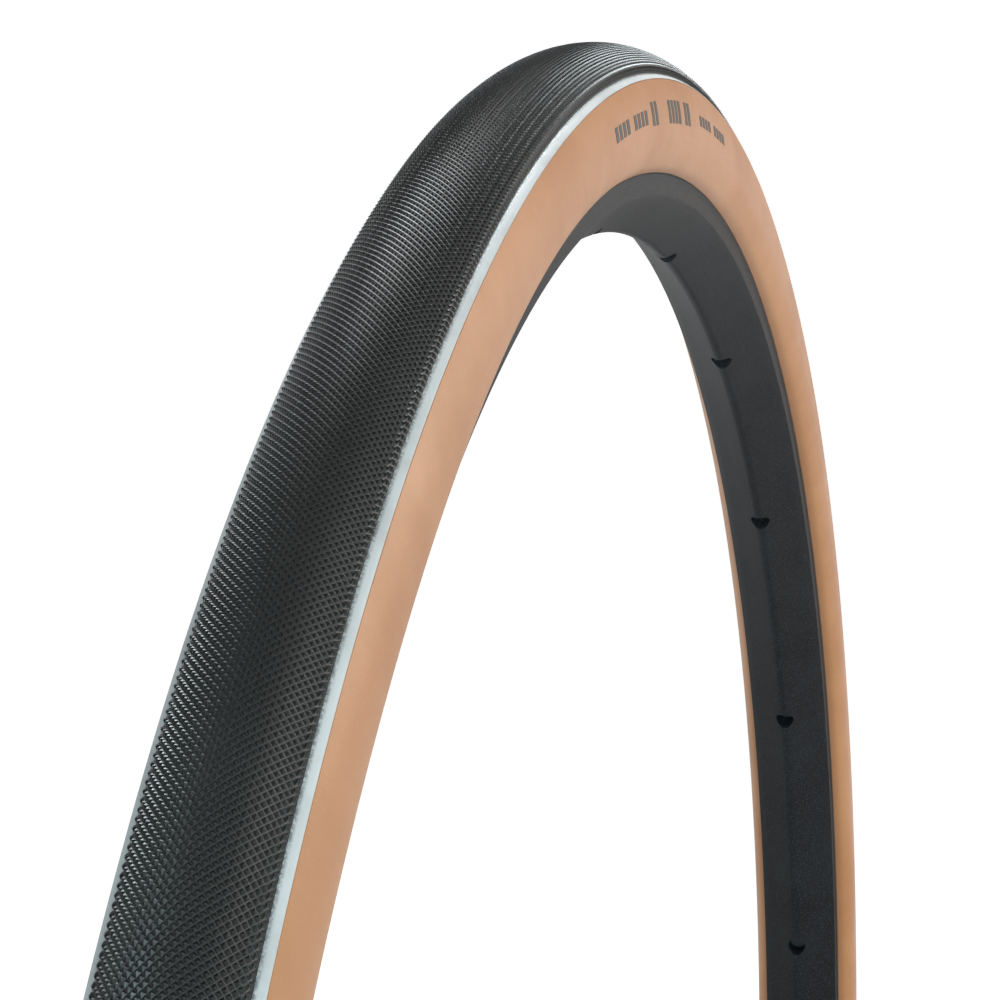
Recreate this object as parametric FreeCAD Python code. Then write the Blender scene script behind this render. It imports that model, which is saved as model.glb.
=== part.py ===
import FreeCAD, Part
import math
import os

# A 28-622 bicycle tyre, seated on its bare rim, with tubeless tape and valve.
# The axle line is +Y and +Z is up. The origin is the centre of the wheel.
# A section of a ring is drawn in the YZ plane, where Z is the radius, and revolved about Y.
# All sizes are in millimetres and all angles in degrees.

# Tread
crown_radius = 341.1
tread_arc_radius = 15.5
tread_half_width = 10.5
tread_foot_half_width = 10.6
tread_foot_radius = 334.95

# Sidewalls: the widest place, and the arcs above and below it
widest_half_width = 14.45
widest_radius = 322.6
upper_arc_radius = 31.6
lower_arc_radius = 8.4
sidewall_top_rise = 11.48
sidewall_end_half_width = 10.3
sidewall_thickness = 0.8

# Casing, breaker belt and airtight liner
casing_crown_radius = 337.6
casing_crown_arc = 17.7
casing_thickness = 0.9
belt_half_width = 9.0
belt_thickness = 0.5
liner_thickness = 0.4

# Beads
bead_outer_half_width = 8.35
bead_toe_half_width = 5.3
bead_inner_height = 1.35
bead_base_radius = 311.25
chafer_thickness = 0.5
bead_core_half_spacing = 6.55
bead_core_radius = 313.25
bead_core_wire_radius = 0.9

# Printed marks on the sidewalls: a plain row of bars
print_thickness = 0.12
print_inner_rise = 2.4
print_outer_rise = 7.4
print_first_angle = 96.0
print_bar_step = 3.0
print_bar_angles = (2.2, 2.2, 1.0, 2.2, 1.0, 2.2, 2.2)

# Rim
rim_half_width = 10.1
rim_corner_half_width = 10.22
rim_corner_radius = 310.9
rim_ridge_radius = 303.2
rim_ridge_rounding = 2.0
flange_inner_half_width = 8.4
flange_clearance = 0.1
bead_seat_radius = 311.0
hump_height = 0.3
hump_half_widths = (5.2, 5.0, 4.7)
well_floor_radius = 307.9
well_floor_half_width = 3.9
rim_tape_thickness = 0.2
tape_half_width = 8.3

# Spoke holes
spoke_count = 24
spoke_hole_radius = 2.4
valve_angle = -83.8
drill_lead = 5.0

# Valve: radial places are radii in the wheel, and sizes are the valve's own
valve_hole_radius = 3.25
stem_radius = 2.95
stem_bore_radius = 1.9
stem_pocket_radius = 2.15
stem_head_radius = 3.4
stem_head_thickness = 0.8
stem_top = 311.4
stem_end = 273.0
stem_pocket_depth = 14.0
foot_base_radius = 3.5
foot_top_radius = 4.1
foot_gap = 0.05
foot_rim_rounding = 0.4
saddle_radius = 5.5
saddle_thickness = 1.6
saddle_height = 5.9
valve_ring_gap = 0.15
o_ring_wire_radius = 0.8
lock_nut_radius = 6.0
lock_nut_thickness = 5.0
lock_nut_gap = 0.05
lock_nut_chamfer = 0.5
lock_nut_grooves = 18
lock_nut_groove_radius = 0.45
core_length = 17.0
core_out = 4.0
core_head_radius = 2.5
core_flat_half_width = 2.0
core_bore_radius = 0.85
core_clearance = 0.05
core_seal_length = 1.2
pin_radius = 0.75
pin_seal_radius = 1.5
pin_seal_length = 1.4
pin_seal_gap = 0.3
tip_nut_radius = 2.0
tip_nut_thickness = 2.2
tip_nut_travel = 2.4
tip_nut_grooves = 12
tip_nut_groove_radius = 0.2
pin_tip = 0.8
cap_radius = 4.0
cap_overlap = 5.0
cap_wall_end = 0.8
cap_tip_gap = 0.6
cap_grooves = 12
cap_groove_radius = 0.35
cap_clearance = 0.1

origin = FreeCAD.Vector(0, 0, 0)
axle = FreeCAD.Vector(0, 1, 0)
up = FreeCAD.Vector(0, 0, 1)

# Places worked out from the sizes above
tread_arc_centre = (0.0, crown_radius - tread_arc_radius)
upper_centre = (widest_half_width - upper_arc_radius, widest_radius)
lower_centre = (widest_half_width - lower_arc_radius, widest_radius)
crown_centre = (0.0, casing_crown_radius - casing_crown_arc)
valve_root = well_floor_radius + rim_tape_thickness


def section_point(half_width, radius):
    return FreeCAD.Vector(0, half_width, radius)


def on_circle(centre, radius, angle):
    turn = math.radians(angle)
    return section_point(centre[0] + radius * math.cos(turn), centre[1] + radius * math.sin(turn))


def arc(centre, radius, start, finish):
    """An arc of a section, from one angle to another, where angle 0 points along +Y."""
    middle = (start + finish) / 2
    ends = [on_circle(centre, radius, angle) for angle in (start, middle, finish)]
    return Part.Arc(*ends)


def angle_at_width(centre, radius, half_width, side):
    """The angle at which a circle reaches a half width: side is 1 above its centre and -1 below."""
    return side * math.degrees(math.acos((half_width - centre[0]) / radius))


def angle_at_rise(radius, rise):
    return math.degrees(math.asin(rise / radius))


def ends_of(piece):
    if isinstance(piece, FreeCAD.Vector):
        return piece, piece
    return piece.StartPoint, piece.EndPoint


def face_of(pieces):
    """A face from points and arcs in order, with straight lines between them."""
    edges = []
    for piece, following in zip(pieces, pieces[1:] + pieces[:1]):
        if not isinstance(piece, FreeCAD.Vector):
            edges.append(piece.toShape())
        start = ends_of(piece)[1]
        finish = ends_of(following)[0]
        if start.distanceToPoint(finish) > 1e-6:
            edges.append(Part.LineSegment(start, finish).toShape())
    return Part.Face(Part.Wire(edges))


def ring(pieces):
    """A closed section turned all the way round the axle."""
    return face_of(pieces).revolve(origin, axle, 360)


def mirrored(shape):
    return shape.mirror(origin, axle)


def both_sides(pieces):
    """A symmetric section, from its +Y half listed outwards from the middle plane."""
    other = []
    for piece in reversed(pieces):
        start, finish = [section_point(-end.y, end.z) for end in ends_of(piece)]
        if isinstance(piece, FreeCAD.Vector):
            other.append(start)
        else:
            middle = piece.value((piece.FirstParameter + piece.LastParameter) / 2)
            other.append(Part.Arc(finish, section_point(-middle.y, middle.z), start))
    return pieces + other


def circles_meet(centre_a, radius_a, centre_b, radius_b):
    """The upper crossing of two section circles, as its angle on each circle."""
    across = centre_b[0] - centre_a[0]
    along = centre_b[1] - centre_a[1]
    apart = math.hypot(across, along)
    reach = (apart ** 2 + radius_a ** 2 - radius_b ** 2) / (2 * apart)
    spread = math.degrees(math.acos(reach / radius_a))
    angle_a = math.degrees(math.atan2(along, across)) - spread
    meeting = on_circle(centre_a, radius_a, angle_a)
    angle_b = math.degrees(math.atan2(meeting.z - centre_b[1], meeting.y - centre_b[0]))
    return angle_a, angle_b


def casing_line(depth):
    """The casing's outer line set in by a depth: crown arc, upper sidewall arc, lower sidewall arc."""
    crown = casing_crown_arc - depth
    upper = upper_arc_radius - sidewall_thickness - depth
    lower = lower_arc_radius - sidewall_thickness - depth
    crown_angle, upper_angle = circles_meet(crown_centre, crown, upper_centre, upper)
    return crown, crown_angle, upper, upper_angle, lower


def layer_top(depth):
    """The crown and upper sidewall arcs of one layer line, from the middle plane to the widest place."""
    crown, crown_angle, upper, upper_angle = casing_line(depth)[:4]
    return [
        arc(crown_centre, crown, 90, crown_angle),
        arc(upper_centre, upper, upper_angle, 0),
    ]


def lower_arc(depth, half_width):
    """The lower sidewall arc of one layer line, from the widest place down to a half width."""
    radius = lower_arc_radius - sidewall_thickness - depth
    return arc(lower_centre, radius, 0, angle_at_width(lower_centre, radius, half_width, -1))


def reverse(piece):
    middle = piece.value((piece.FirstParameter + piece.LastParameter) / 2)
    return Part.Arc(piece.EndPoint, middle, piece.StartPoint)


def turned_back(pieces):
    return [reverse(piece) for piece in reversed(pieces)]


def tread():
    """The rubber cap that meets the road: its outline is the tops of its small diamond knobs."""
    shoulder = angle_at_width(tread_arc_centre, tread_arc_radius, tread_half_width, 1)
    belt_top = casing_crown_arc + belt_thickness
    belt_edge_top = angle_at_width(crown_centre, belt_top, belt_half_width, 1)
    belt_edge = angle_at_width(crown_centre, casing_crown_arc, belt_half_width, 1)
    foot = angle_at_width(crown_centre, casing_crown_arc, tread_foot_half_width, 1)
    outer = [
        arc(tread_arc_centre, tread_arc_radius, 180 - shoulder, shoulder),
        section_point(tread_foot_half_width, tread_foot_radius),
        arc(crown_centre, casing_crown_arc, foot, belt_edge),
        arc(crown_centre, belt_top, belt_edge_top, 180 - belt_edge_top),
        arc(crown_centre, casing_crown_arc, 180 - belt_edge, 180 - foot),
        section_point(-tread_foot_half_width, tread_foot_radius),
    ]
    return ring(outer)


def puncture_belt():
    """The woven breaker strip between the casing and the tread."""
    top_radius = casing_crown_arc + belt_thickness
    top = angle_at_width(crown_centre, top_radius, belt_half_width, 1)
    base = angle_at_width(crown_centre, casing_crown_arc, belt_half_width, 1)
    return ring([
        arc(crown_centre, top_radius, 180 - top, top),
        arc(crown_centre, casing_crown_arc, base, 180 - base),
    ])


def edge_strip():
    """The pale rubber strip between the tread's foot and the sidewall."""
    crown, crown_angle = casing_line(0)[:2]
    foot = angle_at_width(crown_centre, crown, tread_foot_half_width, 1)
    return ring([
        section_point(tread_foot_half_width, tread_foot_radius),
        on_circle(upper_centre, upper_arc_radius, angle_at_rise(upper_arc_radius, sidewall_top_rise)),
        arc(crown_centre, crown, crown_angle, foot),
    ])


def sidewall():
    """The tan rubber skin from the pale strip down to the rim's edge."""
    upper, upper_angle, lower = casing_line(0)[2:]
    top = angle_at_rise(upper_arc_radius, sidewall_top_rise)
    end = angle_at_width(lower_centre, lower_arc_radius, sidewall_end_half_width, -1)
    return ring([
        arc(upper_centre, upper_arc_radius, top, 0),
        arc(lower_centre, lower_arc_radius, 0, end),
        arc(lower_centre, lower, end, 0),
        arc(upper_centre, upper, 0, upper_angle),
    ])


def casing():
    """The body ply: bead to bead, and wrapped round both bead cores."""
    bead_side = bead_outer_half_width - chafer_thickness
    bead_bottom = bead_base_radius + chafer_thickness
    inside = [lower_arc(casing_thickness, bead_toe_half_width)]
    half = layer_top(0) + [
        lower_arc(0, bead_side),
        section_point(bead_side, bead_bottom),
        section_point(bead_toe_half_width, bead_bottom),
        section_point(bead_toe_half_width, bead_bottom + bead_inner_height),
    ] + turned_back(layer_top(casing_thickness) + inside)
    solid = half_rings(half)
    for core in (bead_core(), mirrored(bead_core())):
        solid = solid.cut(core)
    return solid


def half_rings(half):
    """A layer that crosses the middle plane, made as two half sections joined into one solid."""
    side = ring(half)
    return side.fuse(mirrored(side)).removeSplitter()


def inner_liner():
    """The thin airtight rubber inside the casing."""
    outer = layer_top(casing_thickness) + [lower_arc(casing_thickness, bead_toe_half_width)]
    depth = casing_thickness + liner_thickness
    inner = layer_top(depth) + [lower_arc(depth, bead_toe_half_width)]
    return half_rings(outer + turned_back(inner))


def bead_core():
    """The bundle of tight aramid cord that holds the bead on its seat."""
    wire = Part.makeTorus(bead_core_radius, bead_core_wire_radius, origin, axle)
    wire.translate(axle * bead_core_half_spacing)
    return wire


def chafer():
    """The dark strip that wraps the bead where it rubs on the rim."""
    lower = lower_arc_radius - sidewall_thickness
    end = angle_at_width(lower_centre, lower_arc_radius, sidewall_end_half_width, -1)
    bead_outside = angle_at_width(lower_centre, lower_arc_radius, bead_outer_half_width, -1)
    bead_side = bead_outer_half_width - chafer_thickness
    bead_inside = angle_at_width(lower_centre, lower, bead_side, -1)
    bead_bottom = bead_base_radius + chafer_thickness
    return ring([
        arc(lower_centre, lower_arc_radius, end, bead_outside),
        section_point(bead_outer_half_width, bead_bottom),
        section_point(bead_side, bead_base_radius),
        section_point(bead_toe_half_width, bead_base_radius),
        section_point(bead_toe_half_width, bead_bottom),
        section_point(bead_side, bead_bottom),
        arc(lower_centre, lower, bead_inside, end),
    ])


def sidewall_print():
    """A plain row of printed bars, each a thin film on the sidewall."""
    low = angle_at_rise(upper_arc_radius, print_inner_rise)
    high = angle_at_rise(upper_arc_radius, print_outer_rise)
    film = face_of([
        arc(upper_centre, upper_arc_radius, low, high),
        arc(upper_centre, upper_arc_radius + print_thickness, high, low),
    ])
    bars = []
    for place, width in enumerate(print_bar_angles):
        bar = film.revolve(origin, axle, width)
        bar.rotate(origin, axle, 90 - print_first_angle + place * print_bar_step)
        bars.append(bar)
    return Part.makeCompound(bars)


def channel_line():
    """The rim's channel on its +Y side, from the middle of the well out to the flange."""
    hump_outer, hump_top_outer, hump_top_inner = hump_half_widths
    hump_radius = bead_seat_radius + hump_height
    return [
        (0.0, well_floor_radius),
        (well_floor_half_width, well_floor_radius),
        (hump_top_inner, hump_radius),
        (hump_top_outer, hump_radius),
        (hump_outer, bead_seat_radius),
        (flange_inner_half_width, bead_seat_radius),
    ]


def rim_blank():
    """The rim's section turned round the axle, before its holes."""
    gap_arc = lower_arc_radius + flange_clearance
    flange_inside = angle_at_width(lower_centre, gap_arc, flange_inner_half_width, -1)
    flange_outside = angle_at_width(lower_centre, gap_arc, rim_half_width, -1)
    slope = math.degrees(math.atan2(rim_corner_radius - rim_ridge_radius, rim_corner_half_width))
    ridge_centre = (0.0, rim_ridge_radius + rim_ridge_rounding)
    channel = [section_point(*place) for place in channel_line()[1:]]
    half = [
        arc(ridge_centre, rim_ridge_rounding, 270, 270 + slope),
        section_point(rim_corner_half_width, rim_corner_radius),
        arc(lower_centre, gap_arc, flange_outside, flange_inside),
    ] + list(reversed(channel))
    return ring(both_sides(half))


def radial_rod(radius, inner, outer, angle):
    """A round rod that points out from the axle at an angle in the wheel's plane."""
    rod = Part.makeCylinder(radius, outer - inner, FreeCAD.Vector(0, 0, inner), up)
    rod.rotate(origin, axle, 90 - angle)
    return rod


def rim():
    """The rim, drilled from the axle's side for its spokes and its valve."""
    drill_start = rim_ridge_radius - drill_lead
    body = rim_blank()
    step = 360 / spoke_count
    for place in range(spoke_count):
        angle = valve_angle + step * (place + 0.5)
        body = body.cut(radial_rod(spoke_hole_radius, drill_start, bead_seat_radius, angle))
    return body.cut(radial_rod(valve_hole_radius, drill_start, bead_seat_radius, valve_angle))


def offset_line(places, gap):
    """A line of straight runs set over to its left by a gap, with mitred corners."""
    shifted = []
    for index, place in enumerate(places):
        before = places[max(index - 1, 0)]
        after = places[min(index + 1, len(places) - 1)]
        into = unit(before, place) if index else unit(place, after)
        out = unit(place, after) if index < len(places) - 1 else into
        lean = 1 + into[0] * out[0] + into[1] * out[1]
        across = -(into[1] + out[1]) * gap / lean
        along = (into[0] + out[0]) * gap / lean
        shifted.append((place[0] + across, place[1] + along))
    return shifted


def unit(start, finish):
    length = math.hypot(finish[0] - start[0], finish[1] - start[1])
    return (finish[0] - start[0]) / length, (finish[1] - start[1]) / length


def rim_tape():
    """The airtight tape that lines the channel and covers the spoke holes."""
    line = channel_line()[:-1] + [(tape_half_width, bead_seat_radius)]
    below = [section_point(*place) for place in line[1:]]
    above = [section_point(*place) for place in offset_line(line, rim_tape_thickness)[1:]]
    half = below + list(reversed(above))
    band = ring(both_sides(half))
    return band.cut(radial_rod(valve_hole_radius, rim_ridge_radius, bead_seat_radius, valve_angle))


def on_valve(shape):
    """Turns a piece built along +Z into the valve's place in the wheel."""
    shape.rotate(origin, axle, 90 - valve_angle)
    return shape


def rod(radius, inner, outer):
    return Part.makeCylinder(radius, outer - inner, FreeCAD.Vector(0, 0, inner), up)


def tube(radius, bore, inner, outer):
    return rod(radius, inner, outer).cut(rod(bore, inner, outer))


def grooved(shape, radius, inner, outer, count, groove_radius):
    """Straight grip grooves round the outside of a round piece."""
    for place in range(count):
        groove = Part.makeCylinder(groove_radius, outer - inner, FreeCAD.Vector(radius, 0, inner), up)
        groove.rotate(origin, up, place * 360 / count)
        shape = shape.cut(groove)
    return shape


def chamfered_rod(radius, inner, outer, chamfer):
    solid = rod(radius, inner, outer)
    rims = [edge for edge in solid.Edges if edge.Closed and edge.Curve.TypeId == "Part::GeomCircle"]
    return solid.makeChamfer(chamfer, rims)


def valve_stem():
    solid = rod(stem_radius, stem_end, stem_top)
    solid = solid.fuse(rod(stem_head_radius, stem_top - stem_head_thickness, stem_top))
    solid = solid.cut(rod(stem_bore_radius, stem_end, stem_top))
    pocket = rod(stem_pocket_radius, stem_end, stem_end + stem_pocket_depth)
    return solid.cut(pocket).removeSplitter()


def valve_foot():
    """The rubber plug that seals the stem on the tape inside the tyre."""
    base = valve_root + foot_gap
    height = stem_top - base
    plug = Part.makeCone(foot_base_radius, foot_top_radius, height, FreeCAD.Vector(0, 0, base), up)
    top = [edge for edge in plug.Edges if edge.Closed and edge.BoundBox.ZMin > stem_top - foot_gap]
    plug = plug.makeFillet(foot_rim_rounding, top)
    plug = plug.cut(rod(stem_radius, base, stem_top))
    return plug.cut(rod(stem_head_radius, stem_top - stem_head_thickness, stem_top))


def valve_saddle():
    """The washer that is shaped to the rim's ridge on one face and is flat on the other."""
    flat = rim_ridge_radius - saddle_thickness
    blank = tube(saddle_radius, stem_radius + valve_ring_gap, flat, flat + saddle_height)
    return blank.cut(rim_blank())


def valve_o_ring():
    major = stem_radius + valve_ring_gap + o_ring_wire_radius
    centre = rim_ridge_radius - saddle_thickness - o_ring_wire_radius
    return Part.makeTorus(major, o_ring_wire_radius, FreeCAD.Vector(0, 0, centre), up)


def lock_nut():
    """The round finger nut that draws the valve tight, unscrewed towards the axle."""
    outer = rim_ridge_radius - saddle_thickness - 2 * o_ring_wire_radius - lock_nut_gap
    inner = outer - lock_nut_thickness
    solid = chamfered_rod(lock_nut_radius, inner, outer, lock_nut_chamfer)
    solid = solid.cut(rod(stem_radius + core_clearance, inner, outer))
    return grooved(solid, lock_nut_radius, inner, outer, lock_nut_grooves, lock_nut_groove_radius)


def valve_core_body():
    """The removable core that screws into the stem, with two spanner flats on its head."""
    head_end = stem_end - core_out
    solid = rod(stem_pocket_radius - core_clearance, stem_end, head_end + core_length - core_seal_length)
    head = rod(core_head_radius, head_end, stem_end)
    flats = Part.makeBox(2 * core_head_radius, 2 * core_flat_half_width, core_out)
    flats.translate(FreeCAD.Vector(-core_head_radius, -core_flat_half_width, head_end))
    solid = solid.fuse(head.common(flats)).removeSplitter()
    return solid.cut(rod(core_bore_radius, head_end, head_end + core_length))


def valve_core_seal():
    """The slim ring that seals the core in the stem's pocket."""
    outer = stem_end - core_out + core_length
    return tube(stem_pocket_radius - core_clearance, core_bore_radius + core_clearance,
                outer - core_seal_length, outer)


def pin_inner_end():
    """The radius at which the pin's thread ends, just past the backed-off nut."""
    return stem_end - core_out - tip_nut_travel - tip_nut_thickness - pin_tip


def valve_pin():
    """The long pin that opens the valve when it is pressed towards the tyre."""
    seal_start = stem_end - core_out + core_length + pin_seal_gap
    return rod(pin_radius, pin_inner_end(), seal_start + pin_seal_length)


def valve_pin_seal():
    """The rubber plug on the pin, which closes the core's inner end."""
    start = stem_end - core_out + core_length + pin_seal_gap
    return tube(pin_seal_radius, pin_radius, start, start + pin_seal_length)


def valve_tip_nut():
    """The small grooved nut on the pin, backed off as for pumping."""
    outer = stem_end - core_out - tip_nut_travel
    inner = outer - tip_nut_thickness
    solid = tube(tip_nut_radius, pin_radius + core_clearance, inner, outer)
    return grooved(solid, tip_nut_radius, inner, outer, tip_nut_grooves, tip_nut_groove_radius)


def valve_cap():
    """The plastic dust cap that covers the valve's tip."""
    inner = pin_inner_end() - cap_tip_gap - cap_wall_end
    outer = stem_end + cap_overlap
    solid = chamfered_rod(cap_radius, inner, outer, cap_wall_end / 2)
    solid = solid.cut(rod(stem_radius + cap_clearance, inner + cap_wall_end, outer))
    return grooved(solid, cap_radius, inner, outer, cap_grooves, cap_groove_radius)


nodes = {
    "tread": tread(),
    "puncture_belt": puncture_belt(),
    "casing": casing(),
    "inner_liner": inner_liner(),
    "rim": rim(),
    "rim_tape": rim_tape(),
    "valve_stem": on_valve(valve_stem()),
    "valve_foot": on_valve(valve_foot()),
    "valve_saddle": on_valve(valve_saddle()),
    "valve_o_ring": on_valve(valve_o_ring()),
    "lock_nut": on_valve(lock_nut()),
    "valve_core_body": on_valve(valve_core_body()),
    "valve_core_seal": on_valve(valve_core_seal()),
    "valve_pin": on_valve(valve_pin()),
    "valve_pin_seal": on_valve(valve_pin_seal()),
    "valve_tip_nut": on_valve(valve_tip_nut()),
    "valve_cap": on_valve(valve_cap()),
}
for name, make in (
    ("edge_strip", edge_strip),
    ("sidewall", sidewall),
    ("bead_core", bead_core),
    ("chafer", chafer),
    ("sidewall_print", sidewall_print),
):
    nodes[name + "_right"] = make()
    nodes[name + "_left"] = mirrored(make())

os.makedirs("parts", exist_ok=True)
for name, shape in nodes.items():
    shape.exportStep("parts/" + name + ".step")
    print(name, "solids", len(shape.Solids), "valid", shape.isValid(), "volume", round(shape.Volume, 1))
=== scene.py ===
import bpy
import bmesh
import math
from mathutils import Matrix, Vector


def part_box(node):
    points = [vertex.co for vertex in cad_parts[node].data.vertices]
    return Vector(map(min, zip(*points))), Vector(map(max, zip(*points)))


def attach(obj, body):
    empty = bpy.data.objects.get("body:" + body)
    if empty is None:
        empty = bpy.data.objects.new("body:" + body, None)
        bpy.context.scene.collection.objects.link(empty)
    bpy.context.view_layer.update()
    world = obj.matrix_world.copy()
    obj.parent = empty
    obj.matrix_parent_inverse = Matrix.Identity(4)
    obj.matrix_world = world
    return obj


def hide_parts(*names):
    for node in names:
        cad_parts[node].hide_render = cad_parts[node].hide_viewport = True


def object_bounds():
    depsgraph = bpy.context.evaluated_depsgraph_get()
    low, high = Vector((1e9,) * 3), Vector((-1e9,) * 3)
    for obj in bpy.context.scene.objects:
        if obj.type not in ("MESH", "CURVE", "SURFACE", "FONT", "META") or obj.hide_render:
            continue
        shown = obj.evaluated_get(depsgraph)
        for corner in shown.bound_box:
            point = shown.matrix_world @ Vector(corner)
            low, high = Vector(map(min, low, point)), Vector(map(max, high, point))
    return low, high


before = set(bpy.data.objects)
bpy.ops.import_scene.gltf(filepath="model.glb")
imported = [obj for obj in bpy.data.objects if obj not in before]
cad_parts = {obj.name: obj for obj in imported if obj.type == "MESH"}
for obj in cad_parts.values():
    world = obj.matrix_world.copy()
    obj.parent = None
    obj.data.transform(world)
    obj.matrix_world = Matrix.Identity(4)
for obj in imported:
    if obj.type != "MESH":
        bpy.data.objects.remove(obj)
cadBounds = [list(corner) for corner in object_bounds()]

# lengths are metres, angles degrees, the axle is +Y and a ring's section is drawn as (half width, radius)
mm = 0.001
mergeGap = 0.001 * mm
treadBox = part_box("tread")
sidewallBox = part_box("sidewall_right")
crownRadius = treadBox[1].z
widestHalfWidth = sidewallBox[1].y

section = {
    "treadArc": 15.5 * mm,
    "footHalfWidth": 10.6 * mm,
    "footRadius": 334.95 * mm,
    "casingCrownRadius": 337.6 * mm,
    "casingCrownArc": 17.7 * mm,
    "widestRadius": 322.6 * mm,
    "upperArc": 31.6 * mm,
    "lowerArc": 8.4 * mm,
    "sidewallTopRise": 11.48 * mm,
    "sidewallEnd": 10.3 * mm,
    "skin": 0.8 * mm,
    "wheelSteps": 720,
}
treadCentre = (0.0, crownRadius - section["treadArc"])
upperCentre = (widestHalfWidth - section["upperArc"], section["widestRadius"])
lowerCentre = (widestHalfWidth - section["lowerArc"], section["widestRadius"])
crownCentre = (0.0, section["casingCrownRadius"] - section["casingCrownArc"])


class Field:
    # one value over a surface: sums and products of it add Math nodes
    def __init__(self, paint, socket):
        self.paint = paint
        self.socket = socket

    def math(self, operation, *others):
        inputs = {0: self}
        for place, other in enumerate(others):
            inputs[place + 1] = other
        return self.paint.add("ShaderNodeMath", {"operation": operation}, inputs)

    def __add__(self, other):
        return self.math("ADD", other)

    def __radd__(self, other):
        return self.math("ADD", other)

    def __sub__(self, other):
        return self.math("SUBTRACT", other)

    def __rsub__(self, other):
        return self.math("MULTIPLY", -1.0).math("ADD", other)

    def __mul__(self, other):
        return self.math("MULTIPLY", other)

    def __rmul__(self, other):
        return self.math("MULTIPLY", other)

    def clamped(self):
        return self.math("MINIMUM", 1.0).math("MAXIMUM", 0.0)

    def between(self, low, high):
        # 0 at low, 1 at high, smooth between
        inputs = {"Value": self, "From Min": low, "From Max": high}
        return self.paint.add("ShaderNodeMapRange", {"interpolation_type": "SMOOTHSTEP"}, inputs)


class Paint:
    # a material and the nodes in it
    def __init__(self, name):
        self.material = bpy.data.materials.new(name)
        self.material.use_nodes = True
        self.tree = self.material.node_tree
        self.tree.nodes.clear()
        self.place = self.add("ShaderNodeTexCoord", {}, {}, "Object")

    def add(self, kind, settings, inputs, output=0):
        node = self.tree.nodes.new(kind)
        for name, value in settings.items():
            if name == "stops":
                setStops(node.color_ramp, value)
            else:
                setattr(node, name, value)
        for name, value in inputs.items():
            if isinstance(value, Field):
                self.tree.links.new(value.socket, node.inputs[name])
            else:
                node.inputs[name].default_value = value
        return Field(self, node.outputs[output]) if output is not None else None

    def mix(self, factor, first, second):
        first, second = [solid(c) if isinstance(c, tuple) else c for c in (first, second)]
        return self.add("ShaderNodeMix", {"data_type": "RGBA"}, {0: factor, 6: first, 7: second}, 2)

    def noise(self, scale, detail=3.0, roughness=0.5, vector=None):
        inputs = {"Vector": vector or self.place, "Scale": scale, "Detail": detail, "Roughness": roughness}
        return self.add("ShaderNodeTexNoise", {}, inputs, "Fac")

    def parts(self):
        # the x, y and z of the place
        split = self.tree.nodes.new("ShaderNodeSeparateXYZ")
        self.tree.links.new(self.place.socket, split.inputs[0])
        return [Field(self, output) for output in split.outputs]

    def join(self, x, y, z):
        return self.add("ShaderNodeCombineXYZ", {}, {0: x, 1: y, 2: z})

    def wheelPlace(self):
        # the radius from the axle, the angle round it in radians, and the half width
        x, y, z = self.parts()
        radius = (x * x + z * z).math("SQRT")
        angle = z.math("ARCTAN2", x)
        return radius, angle, y

    def bump(self, height, strength, distance):
        inputs = {"Height": height, "Strength": strength, "Distance": distance}
        return self.add("ShaderNodeBump", {}, inputs)

    def finish(self, **inputs):
        named = {name.replace("_", " "): value for name, value in inputs.items()}
        surface = self.add("ShaderNodeBsdfPrincipled", {}, named)
        self.add("ShaderNodeOutputMaterial", {"target": "ALL"}, {"Surface": surface}, None)
        return self.material


def solid(colour):
    return (*colour, 1.0)


def setStops(ramp, stops):
    while len(ramp.elements) < len(stops):
        ramp.elements.new(0.5)
    for element, (place, colour) in zip(ramp.elements, stops):
        element.position = place
        element.color = colour


def onCircle(centre, radius, angle):
    turn = math.radians(angle)
    return (centre[0] + radius * math.cos(turn), centre[1] + radius * math.sin(turn))


def arcPoints(centre, radius, start, finish, count):
    # a section arc as count runs, where angle 0 points along +Y
    return [onCircle(centre, radius, start + (finish - start) * step / count) for step in range(count + 1)]


def angleAtWidth(centre, radius, halfWidth, side):
    return side * math.degrees(math.acos((halfWidth - centre[0]) / radius))


def mirrorOutline(points):
    return [(-halfWidth, radius) for halfWidth, radius in reversed(points)]


def activePiece(name):
    piece = bpy.context.active_object
    piece.name = piece.data.name = name
    return piece


def editSelect(kind, chosen):
    # in edit mode, selects the faces or edges that the test picks
    bpy.ops.mesh.select_all(action="DESELECT")
    bpy.ops.mesh.select_mode(type=kind)
    shape = bmesh.from_edit_mesh(bpy.context.active_object.data)
    parts = shape.faces if kind == "FACE" else shape.edges
    for part in parts:
        if chosen(part):
            part.select_set(True)
    shape.select_flush_mode()
    bmesh.update_edit_mesh(bpy.context.active_object.data)


def drawOutline(name, points, closed=True):
    # a plane shrunk to one point, which is then extruded along the section
    places = [Vector((radius, halfWidth, 0.0)) for halfWidth, radius in points]
    if closed:
        places.append(places[0])
    bpy.ops.object.select_all(action="DESELECT")
    bpy.ops.mesh.primitive_plane_add(size=mm, enter_editmode=True)
    bpy.ops.mesh.select_mode(type="VERT")
    bpy.ops.mesh.merge(type="CENTER")
    bpy.ops.transform.translate(value=places[0])
    for before, after in zip(places, places[1:]):
        bpy.ops.mesh.extrude_vertices_move(TRANSFORM_OT_translate={"value": after - before})
    bpy.ops.mesh.select_all(action="SELECT")
    bpy.ops.mesh.remove_doubles(threshold=mergeGap)
    return activePiece(name)


def spinOutline(turn, steps):
    bpy.ops.mesh.select_all(action="SELECT")
    bpy.ops.mesh.spin(steps=steps, angle=math.radians(turn), center=(0, 0, 0), axis=(0, 1, 0))
    bpy.ops.mesh.select_all(action="SELECT")
    bpy.ops.mesh.remove_doubles(threshold=mergeGap)
    bpy.ops.mesh.normals_make_consistent(inside=False)


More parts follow.
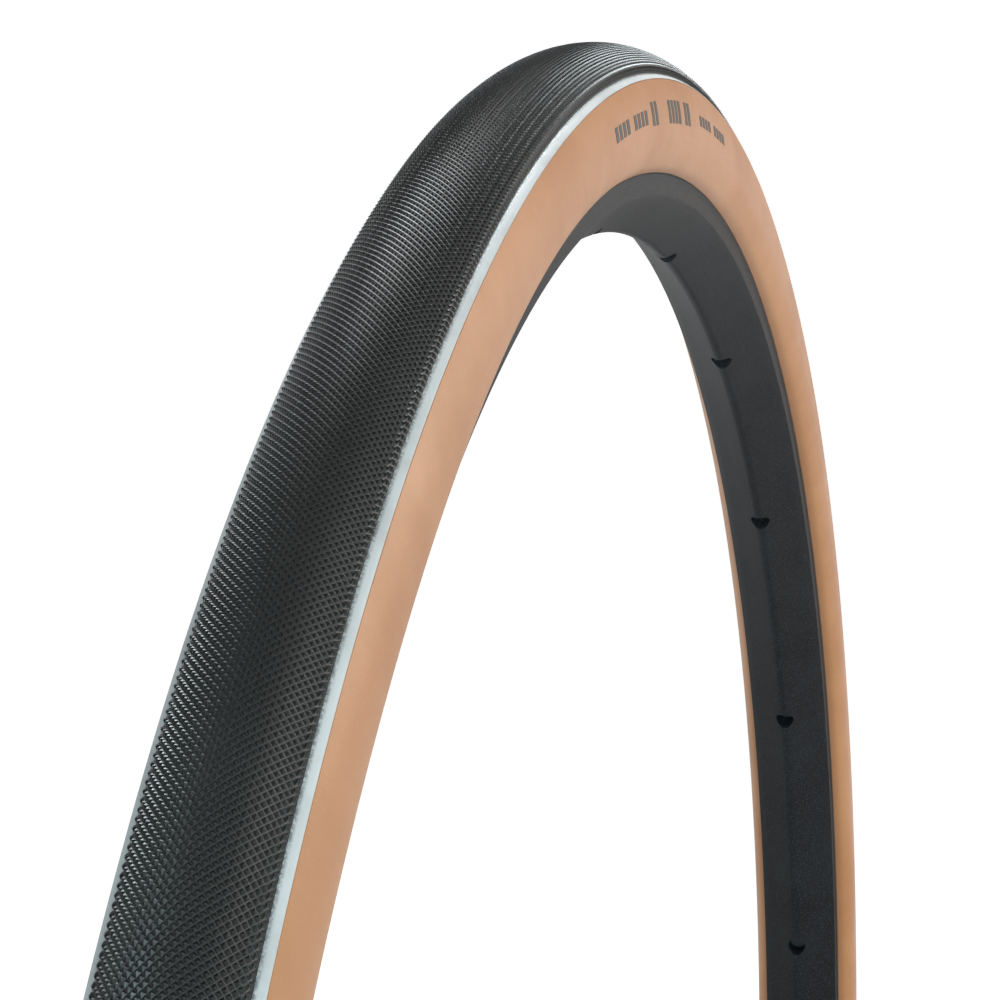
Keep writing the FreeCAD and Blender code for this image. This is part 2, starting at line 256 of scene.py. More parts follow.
def smoothAndClose(piece, angle):
    bpy.ops.object.mode_set(mode="OBJECT")
    bpy.ops.object.shade_smooth_by_angle(angle=math.radians(angle))
    return piece


def ringPiece(name, points, steps, angle=35):
    piece = drawOutline(name, points)
    spinOutline(360, steps)
    return smoothAndClose(piece, angle)


def turnTo(piece, degrees):
    # turns a piece round the axle, from +X towards +Z, and puts the turn in its mesh
    bpy.ops.object.select_all(action="DESELECT")
    piece.select_set(True)
    bpy.context.view_layer.objects.active = piece
    piece.rotation_euler = (0, -math.radians(degrees), 0)
    bpy.ops.object.transform_apply(location=False, rotation=True, scale=False)


def copyPiece(piece, name):
    copy = piece.copy()
    copy.data = piece.data.copy()
    copy.name = copy.data.name = name
    bpy.context.collection.objects.link(copy)
    return copy


def joinPieces(pieces):
    bpy.ops.object.select_all(action="DESELECT")
    for piece in pieces:
        piece.select_set(True)
    bpy.context.view_layer.objects.active = pieces[0]
    bpy.ops.object.join()
    return bpy.context.active_object


def dress(piece, material, slotName, body, *nodes):
    piece.data.materials.clear()
    piece.data.materials.append(material)
    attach(piece, body)
    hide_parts(*nodes)


camera = {"place": (-0.64630, -0.14087, 0.36085), "look": (0.958444, 0.233657, -0.163677), "lens": 121.71}
turn = Vector(camera["look"]).to_track_quat("-Z", "Y").to_euler()
bpy.ops.object.camera_add(location=camera["place"], rotation=turn)
bpy.context.scene.camera = bpy.context.active_object
bpy.context.active_object.data.lens = camera["lens"]
bpy.context.active_object.data.clip_end = 500.0
bpy.context.scene.view_settings.view_transform = "Standard"

studio = {
    "floorSize": 400.0,
    "floorColour": (0.72, 0.72, 0.72),
    "floorGlow": 0.95,
    "nearGlow": (0.22, 0.21, 0.20),
    "glowStart": 0.85,     # the sweep is lit from this far out from the object
    "glowFull": 1.4,
    # how bright the sky is from the horizon, at 0, to straight above, at 1
    "sky": ((0.0, 0.95), (0.02, 0.85), (0.12, 0.3), (0.4, 0.1)),
    # place, the point it faces, size across and down, watts, colour
    "lamps": {
        "right": ((0.9, -1.0, 0.5), (0.1, 0.0, 0.2), (0.5, 0.5), 7.0, (1.0, 0.89, 0.79)),
        "back": ((0.5, 0.15, 0.95), (0.0, 0.0, 0.3), (0.5, 0.4), 12.0, (0.85, 0.96, 1.0)),
        "key": ((-0.22, -0.55, 0.95), (0.0, 0.0, 0.25), (0.5, 0.4), 3.0, (1.0, 0.97, 0.95)),
        "front": ((-1.9, -0.45, -0.05), (-0.3, 0.0, 0.0), (0.6, 0.5), 25.0, (0.66, 0.94, 1.0)),
    },
}


def buildStudio():
    low = cadBounds[0][2]
    bpy.ops.mesh.primitive_plane_add(size=studio["floorSize"], location=(0, 0, low))
    floor = activePiece("studio_floor")
    paint = Paint("studio_floor")
    x, y = paint.parts()[:2]
    away = (x * x + y * y).math("SQRT").between(studio["glowStart"], studio["glowFull"])
    floor.data.materials.append(paint.finish(
        Base_Color=solid(studio["floorColour"]), Roughness=0.9, Specular_IOR_Level=0.1,
        Emission_Color=paint.mix(away, studio["nearGlow"], (1.0, 1.0, 1.0)),
        Emission_Strength=studio["floorGlow"]))
    world = bpy.data.worlds.new("studio")
    bpy.context.scene.world = world
    world.use_nodes = True
    nodes = world.node_tree.nodes
    direction = nodes.new("ShaderNodeTexCoord")
    split = nodes.new("ShaderNodeSeparateXYZ")
    ramp = nodes.new("ShaderNodeValToRGB")
    setStops(ramp.color_ramp, [(height, solid((light,) * 3)) for height, light in studio["sky"]])
    world.node_tree.links.new(direction.outputs["Generated"], split.inputs[0])
    world.node_tree.links.new(split.outputs["Z"], ramp.inputs["Fac"])
    world.node_tree.links.new(ramp.outputs["Color"], nodes["Background"].inputs["Color"])
    for name, (place, aim, size, watts, colour) in studio["lamps"].items():
        facing = (Vector(aim) - Vector(place)).to_track_quat("-Z", "Y").to_euler()
        bpy.ops.object.light_add(type="AREA", location=place, rotation=facing)
        lamp = bpy.context.active_object
        lamp.name = "studio_" + name
        lamp.data.shape = "RECTANGLE"
        lamp.data.size, lamp.data.size_y = size
        lamp.data.energy = watts
        lamp.data.color = colour


treadLook = {
    # painted highlight: the groove floors between the knobs are coloured lighter than the knobs, for the
    # light lines that run between them
    "groove": (0.048, 0.048, 0.046),
    "side": (0.010, 0.010, 0.0095),
    "top": (0.020, 0.020, 0.019),
    "dust": (0.045, 0.044, 0.041),
    "roughness": 0.36,
    "specular": 0.45,
    "patchScale": 55.0,
    "grainScale": 2600.0,
    "reliefScale": 900.0,
    "bumpStrength": 0.35,
    "bumpDepth": 0.05 * mm,
}


def treadRubber():
    paint = Paint("tread_rubber")
    rise = paint.add("ShaderNodeAttribute", {"attribute_name": "rise"}, {}, "Fac")
    # painted highlight: this mask picks the groove floors, which are coloured lighter
    groove = 1 - rise.between(0.02, 0.16)
    crest = rise.between(0.8, 1.0)
    patches = paint.noise(treadLook["patchScale"], 4.0, 0.6).between(0.35, 0.7)
    grain = paint.noise(treadLook["grainScale"], 3.0, 0.65)
    colour = paint.mix(groove * (0.75 + 0.25 * patches), treadLook["side"], treadLook["groove"])
    colour = paint.mix(crest, colour, treadLook["top"])
    colour = paint.mix(patches * grain.between(0.52, 0.7) * 0.35, colour, treadLook["dust"])
    relief = grain + 0.5 * paint.noise(treadLook["reliefScale"], 2.0)
    return paint.finish(
        Base_Color=colour,
        Roughness=(treadLook["roughness"] + 0.16 * (grain - 0.5)).clamped(),
        Specular_IOR_Level=treadLook["specular"],
        Normal=paint.bump(relief, treadLook["bumpStrength"], treadLook["bumpDepth"]))


tanLook = {
    "plain": (0.42, 0.190, 0.078),
    "warm": (0.370, 0.158, 0.058),
    "pale": (0.49, 0.240, 0.110),
    # painted shade: the sidewall is coloured darker towards the rim, where shade falls between tyre and rim
    "rimEdgeShade": (0.25, 0.10, 0.045),
    "rimEdgeShadeRadii": (315.3 * mm, 317.4 * mm),
    "roughness": 0.42,
    "specular": 0.3,
    "threadPitch": 0.55 * mm,
    "mottleScale": 38.0,
    "fineScale": 1500.0,
    "bumpStrength": 0.28,
    "bumpDepth": 0.05 * mm,
}


def tanRubber():
    paint = Paint("tan_rubber")
    radius, angle = paint.wheelPlace()[:2]
    along = angle * section["widestRadius"]
    mottle = paint.noise(tanLook["mottleScale"], 5.0, 0.6)
    fine = paint.noise(tanLook["fineScale"], 3.0, 0.6)
    wave = 2 * math.pi / tanLook["threadPitch"]
    lean = (along + radius) * wave
    other = (along - radius) * wave
    threads = lean.math("SINE") * 0.6 + other.math("SINE") * 0.4
    colour = paint.mix(mottle.between(0.35, 0.7), tanLook["plain"], tanLook["warm"])
    colour = paint.mix(fine.between(0.5, 0.8) * 0.45, colour, tanLook["pale"])
    # painted shade, darker below these radii next to the rim
    rimEdgeShadeMask = 1 - radius.between(*tanLook["rimEdgeShadeRadii"])
    colour = paint.mix(rimEdgeShadeMask * 0.7, colour, tanLook["rimEdgeShade"])
    relief = threads * 0.35 + fine * 0.6 + mottle * 0.8
    return paint.finish(
        Base_Color=colour,
        Roughness=(tanLook["roughness"] + 0.2 * (fine - 0.5) + 0.12 * (mottle - 0.5)).clamped(),
        Specular_IOR_Level=tanLook["specular"],
        Normal=paint.bump(relief, tanLook["bumpStrength"], tanLook["bumpDepth"]))


paleLook = {
    "plain": (0.58, 0.60, 0.60),
    "worn": (0.46, 0.47, 0.47),
    # painted shade: the strip is darkened, mottled, right beside the tread's step, where shade falls in the
    # crease
    "creaseShade": (0.08, 0.08, 0.08),
    "creaseShadeReach": (-0.28 * mm, 0.02 * mm),   # from the tread's edge
    "roughness": 0.36,
    "specular": 0.4,
    "mottleScale": 70.0,
    "fineScale": 1800.0,
    "bumpStrength": 0.3,
    "bumpDepth": 0.05 * mm,
}


def paleRubber():
    paint = Paint("pale_rubber")
    radius = paint.wheelPlace()[0]
    mottle = paint.noise(paleLook["mottleScale"], 4.0, 0.6)
    fine = paint.noise(paleLook["fineScale"], 3.0, 0.6)
    colour = paint.mix(mottle.between(0.4, 0.75), paleLook["plain"], paleLook["worn"])
    # painted shade where the strip meets the tread's step
    creaseShadeLow, creaseShadeHigh = [section["footRadius"] + reach for reach in paleLook["creaseShadeReach"]]
    creaseShadeMask = radius.between(creaseShadeLow, creaseShadeHigh)
    colour = paint.mix(creaseShadeMask * fine.between(0.3, 0.6) * 0.8, colour, paleLook["creaseShade"])
    return paint.finish(
        Base_Color=colour,
        Roughness=(paleLook["roughness"] + 0.2 * (fine - 0.5)).clamped(),
        Specular_IOR_Level=paleLook["specular"],
        Normal=paint.bump(fine + mottle, paleLook["bumpStrength"], paleLook["bumpDepth"]))


rimLook = {
    "plain": (0.012, 0.0125, 0.014),
    "fleck": (0.034, 0.037, 0.043),
    "dark": (0.008, 0.008, 0.009),
    "edge": (0.08, 0.085, 0.09),
    "lipHalfWidths": (9.95 * mm, 10.15 * mm),
    "brushAlong": 26.0,
    "brushAcross": 5200.0,
    "roughness": 0.5,
    "specular": 0.09,
    "speckScale": 2400.0,
    "cloudScale": 45.0,
    "bumpStrength": 0.35,
    "bumpDepth": 0.03 * mm,
}


def rimAlloy():
    paint = Paint("rim_alloy")
    radius, angle, across = paint.wheelPlace()
    speck = paint.noise(rimLook["speckScale"], 2.0, 0.5)
    cloud = paint.noise(rimLook["cloudScale"], 4.0, 0.6)
    fineness = rimLook["brushAcross"]
    stretched = paint.join(angle * rimLook["brushAlong"], across * fineness, radius * fineness)
    brushed = paint.noise(1.0, 3.0, 0.6, stretched)
    colour = paint.mix(cloud.between(0.3, 0.7), rimLook["plain"], rimLook["dark"])
    colour = paint.mix(speck.between(0.5, 0.72) * 0.8, colour, rimLook["fleck"])
    lip = across.math("ABSOLUTE").between(*rimLook["lipHalfWidths"])
    colour = paint.mix(lip * brushed.between(0.45, 0.7) * 0.3, colour, rimLook["edge"])
    return paint.finish(
        Base_Color=colour,
        Specular_IOR_Level=rimLook["specular"],
        Roughness=(rimLook["roughness"] + 0.25 * (speck - 0.5) + 0.1 * (brushed - 0.5)).clamped(),
        Normal=paint.bump(speck + 0.3 * brushed, rimLook["bumpStrength"], rimLook["bumpDepth"]))


# low and high colour, roughness, weave pitch (0 for none) and how metallic
plainLooks = {
    "casing_cloth": ((0.50, 0.44, 0.33), (0.66, 0.60, 0.47), 0.8, 0.5 * mm, 0.0),
    "breaker_cloth": ((0.30, 0.20, 0.08), (0.46, 0.33, 0.14), 0.8, 0.7 * mm, 0.0),
    "bead_cord": ((0.44, 0.33, 0.10), (0.62, 0.49, 0.18), 0.7, 0.4 * mm, 0.0),
    "print_film": ((0.010, 0.009, 0.008), (0.022, 0.020, 0.018), 0.5, 0, 0.0),
    "tape_film": ((0.012, 0.012, 0.013), (0.024, 0.024, 0.026), 0.4, 0, 0.0),
    "black_rubber": ((0.022, 0.022, 0.023), (0.045, 0.045, 0.046), 0.6, 0, 0.0),
    "cap_plastic": ((0.020, 0.020, 0.021), (0.034, 0.034, 0.035), 0.38, 0, 0.0),
    "valve_alloy": ((0.045, 0.047, 0.052), (0.075, 0.078, 0.084), 0.36, 0, 0.8),
    "valve_brass": ((0.62, 0.43, 0.16), (0.78, 0.57, 0.26), 0.3, 0, 1.0),
    "valve_steel": ((0.52, 0.52, 0.52), (0.68, 0.68, 0.67), 0.26, 0, 1.0),
}


plainSurface = {"cloudScale": 120.0, "grainScale": 3200.0, "bumpStrength": 0.3, "bumpDepth": 0.04 * mm}


def plainMaterial(name):
    low, high, roughness, weave, metallic = plainLooks[name]
    paint = Paint(name)
    angle, across = paint.wheelPlace()[1:]
    cloud = paint.noise(plainSurface["cloudScale"], 4.0, 0.6)
    grain = paint.noise(plainSurface["grainScale"], 3.0, 0.6)
    relief = grain + 0.6 * cloud
    shade = cloud.between(0.32, 0.7) * 0.6 + grain.between(0.4, 0.75) * 0.4
    if weave:
        pitch = 2 * math.pi / weave
        along = angle * section["widestRadius"]
        warp = ((along + across) * pitch).math("SINE")
        weft = ((along - across) * pitch).math("SINE")
        threads = warp.math("MAXIMUM", weft)
        relief = relief * 0.5 + threads
        shade = shade * 0.7 + threads.between(-0.4, 1.0) * 0.3
    return paint.finish(
        Base_Color=paint.mix(shade.clamped(), low, high),
        Metallic=metallic,
        Roughness=(roughness + 0.2 * (grain - 0.5) + 0.1 * (cloud - 0.5)).clamped(),
        Normal=paint.bump(relief, plainSurface["bumpStrength"], plainSurface["bumpDepth"]))


knurl = {
    "rows": 16,            # diamonds across the tread, on each of the two staggered sets
    "columns": 120,        # diamonds along one patch
    "patches": 12,
    "keptFrom": 0.75,      # in columns: faces before this one or past the last one and keptTo go
    "keptTo": 0.7,
    "edgeAngle": 42.6,
    "height": 0.40 * mm,
    "grooveHalfWidth": 0.06 * mm,
    "slope": 0.40 * mm,
    "edgeSlope": 0.16 * mm,
    "edgeHeight": 0.14 * mm,
    "foot": (10.57 * mm, 335.02 * mm),   # where the last row ends, on the shoulder's wall
}
treadBase = {"sunk": 0.05 * mm, "arcSteps": 24, "smoothAngle": 25, "rise": 0.5}


def markRise(piece, flat=None):
    # how far each point stands above the grooves, from 0 to 1, for the material
    shoulder = onCircle(treadCentre, section["treadArc"] - knurl["height"], 90 - knurl["edgeAngle"])
    wall = Vector((knurl["foot"][0] - shoulder[0], knurl["foot"][1] - shoulder[1])).normalized()
    rises = []
    for vertex in piece.data.vertices:
        x, y, z = vertex.co
        across, out = abs(y), math.hypot(x, z)
        place = Vector((across, out - treadCentre[1]))
        if math.degrees(math.atan2(place.x, place.y)) < knurl["edgeAngle"]:
            rise = place.length - section["treadArc"] + knurl["height"]
        else:
            rise = -wall.y * (across - shoulder[0]) + wall.x * (out - shoulder[1])
        rises.append(rise / knurl["height"] if flat is None else flat)
    layer = piece.data.attributes.new("rise", "FLOAT", "POINT")
    layer.data.foreach_set("value", rises)


def knurlPatch():
    # diamonds round the lattice of a spun arc: poke its faces, then dissolve the arc's own edges
    floorArc = section["treadArc"] - knurl["height"]
    columnTurn = 360 / knurl["patches"] / knurl["columns"]
    edge = knurl["edgeAngle"]
    outline = arcPoints(treadCentre, floorArc, 90 + edge, 90 - edge, knurl["rows"])
    foot = knurl["foot"]
    outline = [(-foot[0], foot[1])] + outline + [foot]
    piece = drawOutline("tread_knurl", outline, closed=False)
    spinOutline(columnTurn * (knurl["columns"] + 1), knurl["columns"] + 1)
    shape = bmesh.from_edit_mesh(piece.data)
    first = len(shape.verts)
    bpy.ops.mesh.poke()

    def onArc(line):
        return all(v.index < first for v in line.verts) and len(line.link_faces) == 2

    editSelect("EDGE", onArc)
    bpy.ops.mesh.dissolve_edges(use_verts=False)

    def columnPlace(face):
        centre = face.calc_center_median()
        return abs(math.degrees(math.atan2(centre.z, centre.x))) / columnTurn

    # whole diamonds only, so that a copy one patch further on fits against it
    begin = knurl["keptFrom"]
    last = knurl["columns"] + knurl["keptTo"]
    editSelect("FACE", lambda face: columnPlace(face) < begin or columnPlace(face) > last)
    bpy.ops.mesh.delete(type="FACE")
    bpy.ops.mesh.select_all(action="SELECT")
    bpy.ops.mesh.inset(thickness=knurl["grooveHalfWidth"], depth=0, use_individual=True)
    shape = bmesh.from_edit_mesh(piece.data)
    edgeFaces = {face.index for face in shape.faces if face.select and len(face.verts) == 3}
    wholeFaces = {face.index for face in shape.faces if face.select and len(face.verts) == 4}
    editSelect("FACE", lambda face: face.index in edgeFaces)
    bpy.ops.mesh.inset(thickness=knurl["edgeSlope"], depth=knurl["edgeHeight"], use_individual=True)
    editSelect("FACE", lambda face: face.index in wholeFaces)
    bpy.ops.mesh.inset(thickness=knurl["slope"], depth=knurl["height"], use_individual=True)
    bpy.ops.object.mode_set(mode="OBJECT")
    markRise(piece)
    return piece


def buildTread(material):
    floorArc = section["treadArc"] - knurl["height"]
    edge = knurl["edgeAngle"]
    crownArc = section["casingCrownArc"]
    foot = angleAtWidth(crownCentre, crownArc, section["footHalfWidth"], 1)
    sunk = treadBase["sunk"]
    steps = treadBase["arcSteps"]
    footPoint = (section["footHalfWidth"] - sunk, section["footRadius"])
    outline = [footPoint]
    outline += arcPoints(crownCentre, crownArc, foot, 180 - foot, steps)
    outline += [(-footPoint[0], footPoint[1])]
    outline += arcPoints(treadCentre, floorArc - sunk, 90 + edge, 90 - edge, steps)
    base = ringPiece("tread_base", outline, section["wheelSteps"], treadBase["smoothAngle"])
    markRise(base, treadBase["rise"])
    dress(base, material, "tread_rubber", "wheel", "tread")
    patch = knurlPatch()
    patches = [patch]
    for place in range(1, knurl["patches"]):
        copy = copyPiece(patch, "tread_knurl_%02d" % (place + 1))
        turnTo(copy, 360 / knurl["patches"] * place)
        patches.append(copy)
    patch.name = patch.data.name = "tread_knurl_01"
    for piece in patches:
        dress(piece, material, "tread_rubber", "wheel", "tread")


def sideName(side):
    return "right" if side > 0 else "left"


def bothSides(outline, node, prefix, material, slotName, smoothAngle=35):
    # the ring that the outline gives on each side of the wheel
    for side in (1, -1):
        points = outline if side > 0 else mirrorOutline(outline)
        name = node + "_" + sideName(side)
        piece = ringPiece(prefix + name, points, section["wheelSteps"], smoothAngle)
        dress(piece, material, slotName, "wheel", name)


edgeStrip = {"swell": 0.10 * mm, "steps": 10, "smoothAngle": 50}


def buildEdgeStrips(material):
    upper = section["upperArc"]
    topAngle = math.degrees(math.asin(section["sidewallTopRise"] / upper))
    outer = onCircle(upperCentre, upper, topAngle)
    crownArc = section["casingCrownArc"]
    foot = angleAtWidth(crownCentre, crownArc, section["footHalfWidth"], 1)
    skinArc = upper - section["skin"]
    low = onCircle(upperCentre, skinArc, topAngle)
    footPoint = (section["footHalfWidth"], section["footRadius"])
    along = Vector((outer[0] - footPoint[0], outer[1] - footPoint[1]))
    rise = Vector((-along.y, along.x)).normalized() * edgeStrip["swell"]
    outline = [footPoint]
    for step in range(1, edgeStrip["steps"]):
        share = step / edgeStrip["steps"]
        swell = (4 * share * (1 - share)) ** 0.5
        halfWidth = footPoint[0] + along.x * share + rise.x * swell
        radius = footPoint[1] + along.y * share + rise.y * swell
        outline.append((halfWidth, radius))
    outline += [outer, low, onCircle(crownCentre, crownArc, foot)]
    bothSides(outline, "edge_strip", "pale_", material, "pale_rubber", edgeStrip["smoothAngle"])


# the top and bottom edges are chamfered: how far they stop short in degrees, and their depth
sidewall = {
    "topShort": 0.35,
    "endShort": 1.2,
    "chamfer": 0.18 * mm,
    "upperSteps": 22,
    "lowerSteps": 14,
    "backSteps": 8,
}


def buildSidewalls(material):
    upper, lower, skin = section["upperArc"], section["lowerArc"], section["skin"]
    topAngle = math.degrees(math.asin(section["sidewallTopRise"] / upper))
    end = angleAtWidth(lowerCentre, lower, section["sidewallEnd"], -1)
    chamfer, back = sidewall["chamfer"], sidewall["backSteps"]
    outline = arcPoints(upperCentre, upper, topAngle - sidewall["topShort"], 0, sidewall["upperSteps"])
    outline += arcPoints(lowerCentre, lower, 0, end + sidewall["endShort"], sidewall["lowerSteps"])[1:]
    outline += [onCircle(lowerCentre, lower - chamfer, end)]
    outline += arcPoints(lowerCentre, lower - skin, end, 0, back)
    outline += arcPoints(upperCentre, upper - skin, 0, topAngle, back)[1:]
    outline += [onCircle(upperCentre, upper - chamfer, topAngle)]
    bothSides(outline, "sidewall", "tan_", material, "tan_rubber")


chafer = {"beadHalfWidth": 8.35 * mm, "toe": 5.3 * mm, "base": 311.25 * mm, "thick": 0.5 * mm, "arcSteps": 6}


def buildChafers(material):
    lower = section["lowerArc"]
    end = angleAtWidth(lowerCentre, lower, section["sidewallEnd"], -1)
    outside = angleAtWidth(lowerCentre, lower, chafer["beadHalfWidth"], -1)
    beadSide = chafer["beadHalfWidth"] - chafer["thick"]
    inside = angleAtWidth(lowerCentre, lower - section["skin"], beadSide, -1)
    bottom = chafer["base"] + chafer["thick"]
    outline = arcPoints(lowerCentre, lower, end, outside, chafer["arcSteps"])
    outline += [(chafer["beadHalfWidth"], bottom)]
    outline += [(beadSide, chafer["base"])]
    outline += [(chafer["toe"], chafer["base"])]
    outline += [(chafer["toe"], bottom), (beadSide, bottom)]
    outline += arcPoints(lowerCentre, lower - section["skin"], inside, end, chafer["arcSteps"])
    bothSides(outline, "chafer", "bead_", material, "black_rubber")


printMarks = {
    "film": 0.06 * mm,
    "sunk": 0.02 * mm,
    "firstAngle": 96.0,
    "step": 3.0,
    "widths": (2.2, 2.2, 1.0, 2.2, 1.0, 2.2, 2.2),
    "rises": ((3.2, 6.0), (3.2, 6.0), (2.6, 7.2), (2.6, 7.2), (2.6, 7.2), (3.6, 5.8), (3.6, 5.8)),
    "stroke": 0.40,        # each bar is a few upright strokes, in degrees of the wheel
    "strokeStep": 0.60,
    "strokeSpinSteps": 2,
    "arcSteps": 8,
    "smoothAngle": 30,
}


def printStroke(low, high, side):
    upper = section["upperArc"]
    start, finish = [math.degrees(math.asin(rise * mm / upper)) for rise in (low, high)]
    steps = printMarks["arcSteps"]
    outline = arcPoints(upperCentre, upper - printMarks["sunk"], start, finish, steps)
    outline += arcPoints(upperCentre, upper + printMarks["film"], finish, start, steps)
    stroke = drawOutline("stroke", outline if side > 0 else mirrorOutline(outline))
    bpy.ops.mesh.edge_face_add()
    spinOutline(printMarks["stroke"], printMarks["strokeSpinSteps"])
    bpy.ops.object.mode_set(mode="OBJECT")
    return stroke


def buildPrints(material):
    for side in (1, -1):
        strokes = []
        bars = zip(printMarks["widths"], printMarks["rises"])
        for place, (width, (low, high)) in enumerate(bars):
            first = printMarks["firstAngle"] - place * printMarks["step"]
            count = int((width - printMarks["stroke"]) / printMarks["strokeStep"]) + 1
            for number in range(count):
                stroke = printStroke(low, high, side)
                turnTo(stroke, first - number * printMarks["strokeStep"])
                strokes.append(stroke)
        piece = joinPieces(strokes)
        name = "sidewall_print_" + sideName(side)
        piece.name = piece.data.name = "marks_" + name
        bpy.ops.object.shade_smooth_by_angle(angle=math.radians(printMarks["smoothAngle"]))
        dress(piece, material, "print_film", "wheel", name)


rim = {
    "halfWidth": 10.1 * mm,
    "cornerHalfWidth": 10.22 * mm,
    "cornerRadius": 310.9 * mm,
    "ridgeRadius": 303.2 * mm,
    "ridgeRounding": 2.0 * mm,
    "flangeInside": 8.4 * mm,
    "flangeGap": 0.1 * mm,
    "channel": ((8.4, 311.0), (5.2, 311.0), (5.0, 311.3), (4.7, 311.3), (3.9, 307.9)),
    "holes": 24,
    "holeRadius": 2.4 * mm,
    "valveAngle": -83.8,
    "valveHoleRadius": 3.25 * mm,
    "sectorSteps": 30,
    "edgeRound": 0.16 * mm,
    "edgeFound": 0.01 * mm,    # a hole's edge lies this close to its wall,
    "edgeReach": 2.6 * mm,     # no further out than this from the ridge, and in steps this short
    "edgeStep": 1.2 * mm,
    "cornerLip": 0.12 * mm,
    "arcSteps": 6,
    "bedShares": (0.25, 0.5, 0.75, 0.975),
    "wallShares": (0.5, 0.95),
    "smoothAngle": 30,
}
cutter = {"inside": 6 * mm, "outside": 7.5 * mm, "holeSides": 40, "valveSides": 48}


def pointsBetween(start, finish, shares):
    return [tuple(a + (b - a) * share for a, b in zip(start, finish)) for share in shares]


def rimOutline():
    gapArc = section["lowerArc"] + rim["flangeGap"]
    inside = angleAtWidth(lowerCentre, gapArc, rim["flangeInside"], -1)
    outside = angleAtWidth(lowerCentre, gapArc, rim["halfWidth"], -1)
    slope = math.degrees(math.atan2(rim["cornerRadius"] - rim["ridgeRadius"], rim["cornerHalfWidth"]))
    ridgeCentre = (0.0, rim["ridgeRadius"] + rim["ridgeRounding"])
    steps = rim["arcSteps"]
    half = arcPoints(ridgeCentre, rim["ridgeRounding"], 270, 270 + slope, steps)
    bedEnd = (rim["cornerHalfWidth"], rim["cornerRadius"])
    half += pointsBetween(half[-1], bedEnd, rim["bedShares"])
    half += [(bedEnd[0], bedEnd[1] + rim["cornerLip"])]
    wall = onCircle(lowerCentre, gapArc, outside)
    half += pointsBetween(bedEnd, wall, rim["wallShares"])
    half += arcPoints(lowerCentre, gapArc, outside + 1.0, inside, steps)
    half += [(halfWidth * mm, radius * mm) for halfWidth, radius in rim["channel"]]
    return half + mirrorOutline(half[1:])


def radialCutter(radius, angle, sides):
    bpy.ops.object.select_all(action="DESELECT")
    inner = rim["ridgeRadius"] - cutter["inside"]
    outer = rim["ridgeRadius"] + cutter["outside"]
    bpy.ops.mesh.primitive_cylinder_add(
        vertices=sides, radius=radius, depth=outer - inner,
        location=((inner + outer) / 2, 0, 0), rotation=(0, math.pi / 2, 0))
    bpy.ops.object.transform_apply(location=True, rotation=True, scale=True)
    rod = bpy.context.active_object
    turnTo(rod, angle)
    return rod


def drill(piece, rod):
    bpy.ops.object.select_all(action="DESELECT")
    bpy.context.view_layer.objects.active = piece
    piece.select_set(True)
    cut = piece.modifiers.new("hole", "BOOLEAN")
    cut.operation = "DIFFERENCE"
    cut.solver = "EXACT"
    cut.object = rod
    bpy.ops.object.modifier_apply(modifier=cut.name)
    bpy.data.objects.remove(rod)


def roundHoleEdge(piece, radius, angle):
    # a small round on the hole's outer edge, found by its distance from the hole's line
    line = Vector((math.cos(math.radians(angle)), 0, math.sin(math.radians(angle))))

    def onEdge(vertex):
        along = vertex.co.dot(line)
        fromLine = (vertex.co - line * along).length
        onWall = abs(fromLine - radius) < rim["edgeFound"]
        return onWall and 0 < along < rim["ridgeRadius"] + rim["edgeReach"]

    bpy.ops.object.mode_set(mode="EDIT")
    short = rim["edgeStep"]
    editSelect("EDGE", lambda edge: all(onEdge(v) for v in edge.verts) and edge.calc_length() < short)
    bpy.ops.mesh.bevel(offset=rim["edgeRound"], segments=2, affect="EDGES", clamp_overlap=True)
    bpy.ops.object.mode_set(mode="OBJECT")


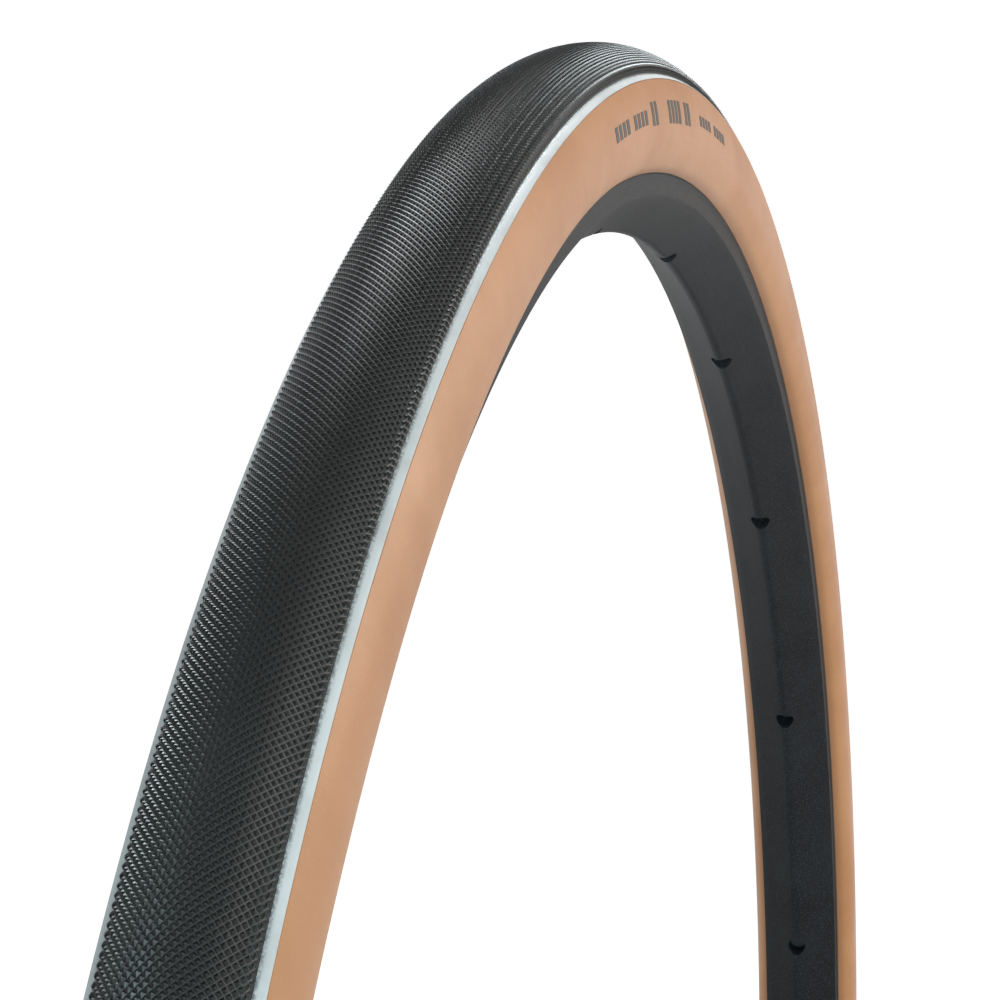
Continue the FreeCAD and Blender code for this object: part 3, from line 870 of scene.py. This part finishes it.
def buildRim(material):
    turnStep = 360 / rim["holes"]
    sector = drawOutline("rim_sector", rimOutline())
    bpy.ops.mesh.edge_face_add()
    spinOutline(turnStep, rim["sectorSteps"])
    bpy.ops.object.mode_set(mode="OBJECT")
    middle = sum((v.co for v in sector.data.vertices), Vector()).normalized()
    turnTo(sector, -math.degrees(math.atan2(middle.z, middle.x)))
    drill(sector, radialCutter(rim["holeRadius"], 0, cutter["holeSides"]))
    roundHoleEdge(sector, rim["holeRadius"], 0)
    bpy.ops.object.mode_set(mode="EDIT")
    half = turnStep / 2

    def onCut(face):
        angles = [abs(math.degrees(math.atan2(v.co.z, v.co.x))) for v in face.verts]
        return min(angles) > half - 0.01

    editSelect("FACE", onCut)
    bpy.ops.mesh.delete(type="FACE")
    bpy.ops.object.mode_set(mode="OBJECT")
    sectors = [sector]
    for place in range(1, rim["holes"]):
        sectors.append(copyPiece(sector, "rim_sector_%02d" % place))
    for place, piece in enumerate(sectors):
        turnTo(piece, rim["valveAngle"] + turnStep * (place + 0.5))
    piece = joinPieces(sectors)
    bpy.ops.object.mode_set(mode="EDIT")
    bpy.ops.mesh.select_all(action="SELECT")
    bpy.ops.mesh.remove_doubles(threshold=0.002 * mm)
    bpy.ops.object.mode_set(mode="OBJECT")
    drill(piece, radialCutter(rim["valveHoleRadius"], rim["valveAngle"], cutter["valveSides"]))
    roundHoleEdge(piece, rim["valveHoleRadius"], rim["valveAngle"])
    piece.name = piece.data.name = "rim_extrusion"
    bpy.ops.object.shade_smooth_by_angle(angle=math.radians(rim["smoothAngle"]))
    dress(piece, material, "rim_alloy", "wheel", "rim")


cadFinishes = {
    "casing": "casing_cloth",
    "puncture_belt": "breaker_cloth",
    "inner_liner": "black_rubber",
    "bead_core_left": "bead_cord",
    "bead_core_right": "bead_cord",
    "rim_tape": "tape_film",
    "valve_stem": "valve_alloy",
    "valve_foot": "black_rubber",
    "valve_saddle": "black_rubber",
    "valve_o_ring": "black_rubber",
    "lock_nut": "valve_alloy",
    "valve_core_body": "valve_brass",
    "valve_core_seal": "black_rubber",
    "valve_pin": "valve_steel",
    "valve_pin_seal": "black_rubber",
    "valve_tip_nut": "valve_brass",
    "valve_cap": "cap_plastic",
}

buildStudio()
print("studio made")
materials = {name: plainMaterial(name) for name in plainLooks}
for node, finish in cadFinishes.items():
    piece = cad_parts[node]
    piece.data.materials.clear()
    piece.data.materials.append(materials[finish])
print("cad nodes finished")
buildTread(treadRubber())
print("tread made")
buildEdgeStrips(paleRubber())
buildSidewalls(tanRubber())
buildChafers(materials["black_rubber"])
buildPrints(materials["print_film"])
print("sidewalls made")
buildRim(rimAlloy())
print("rim made")
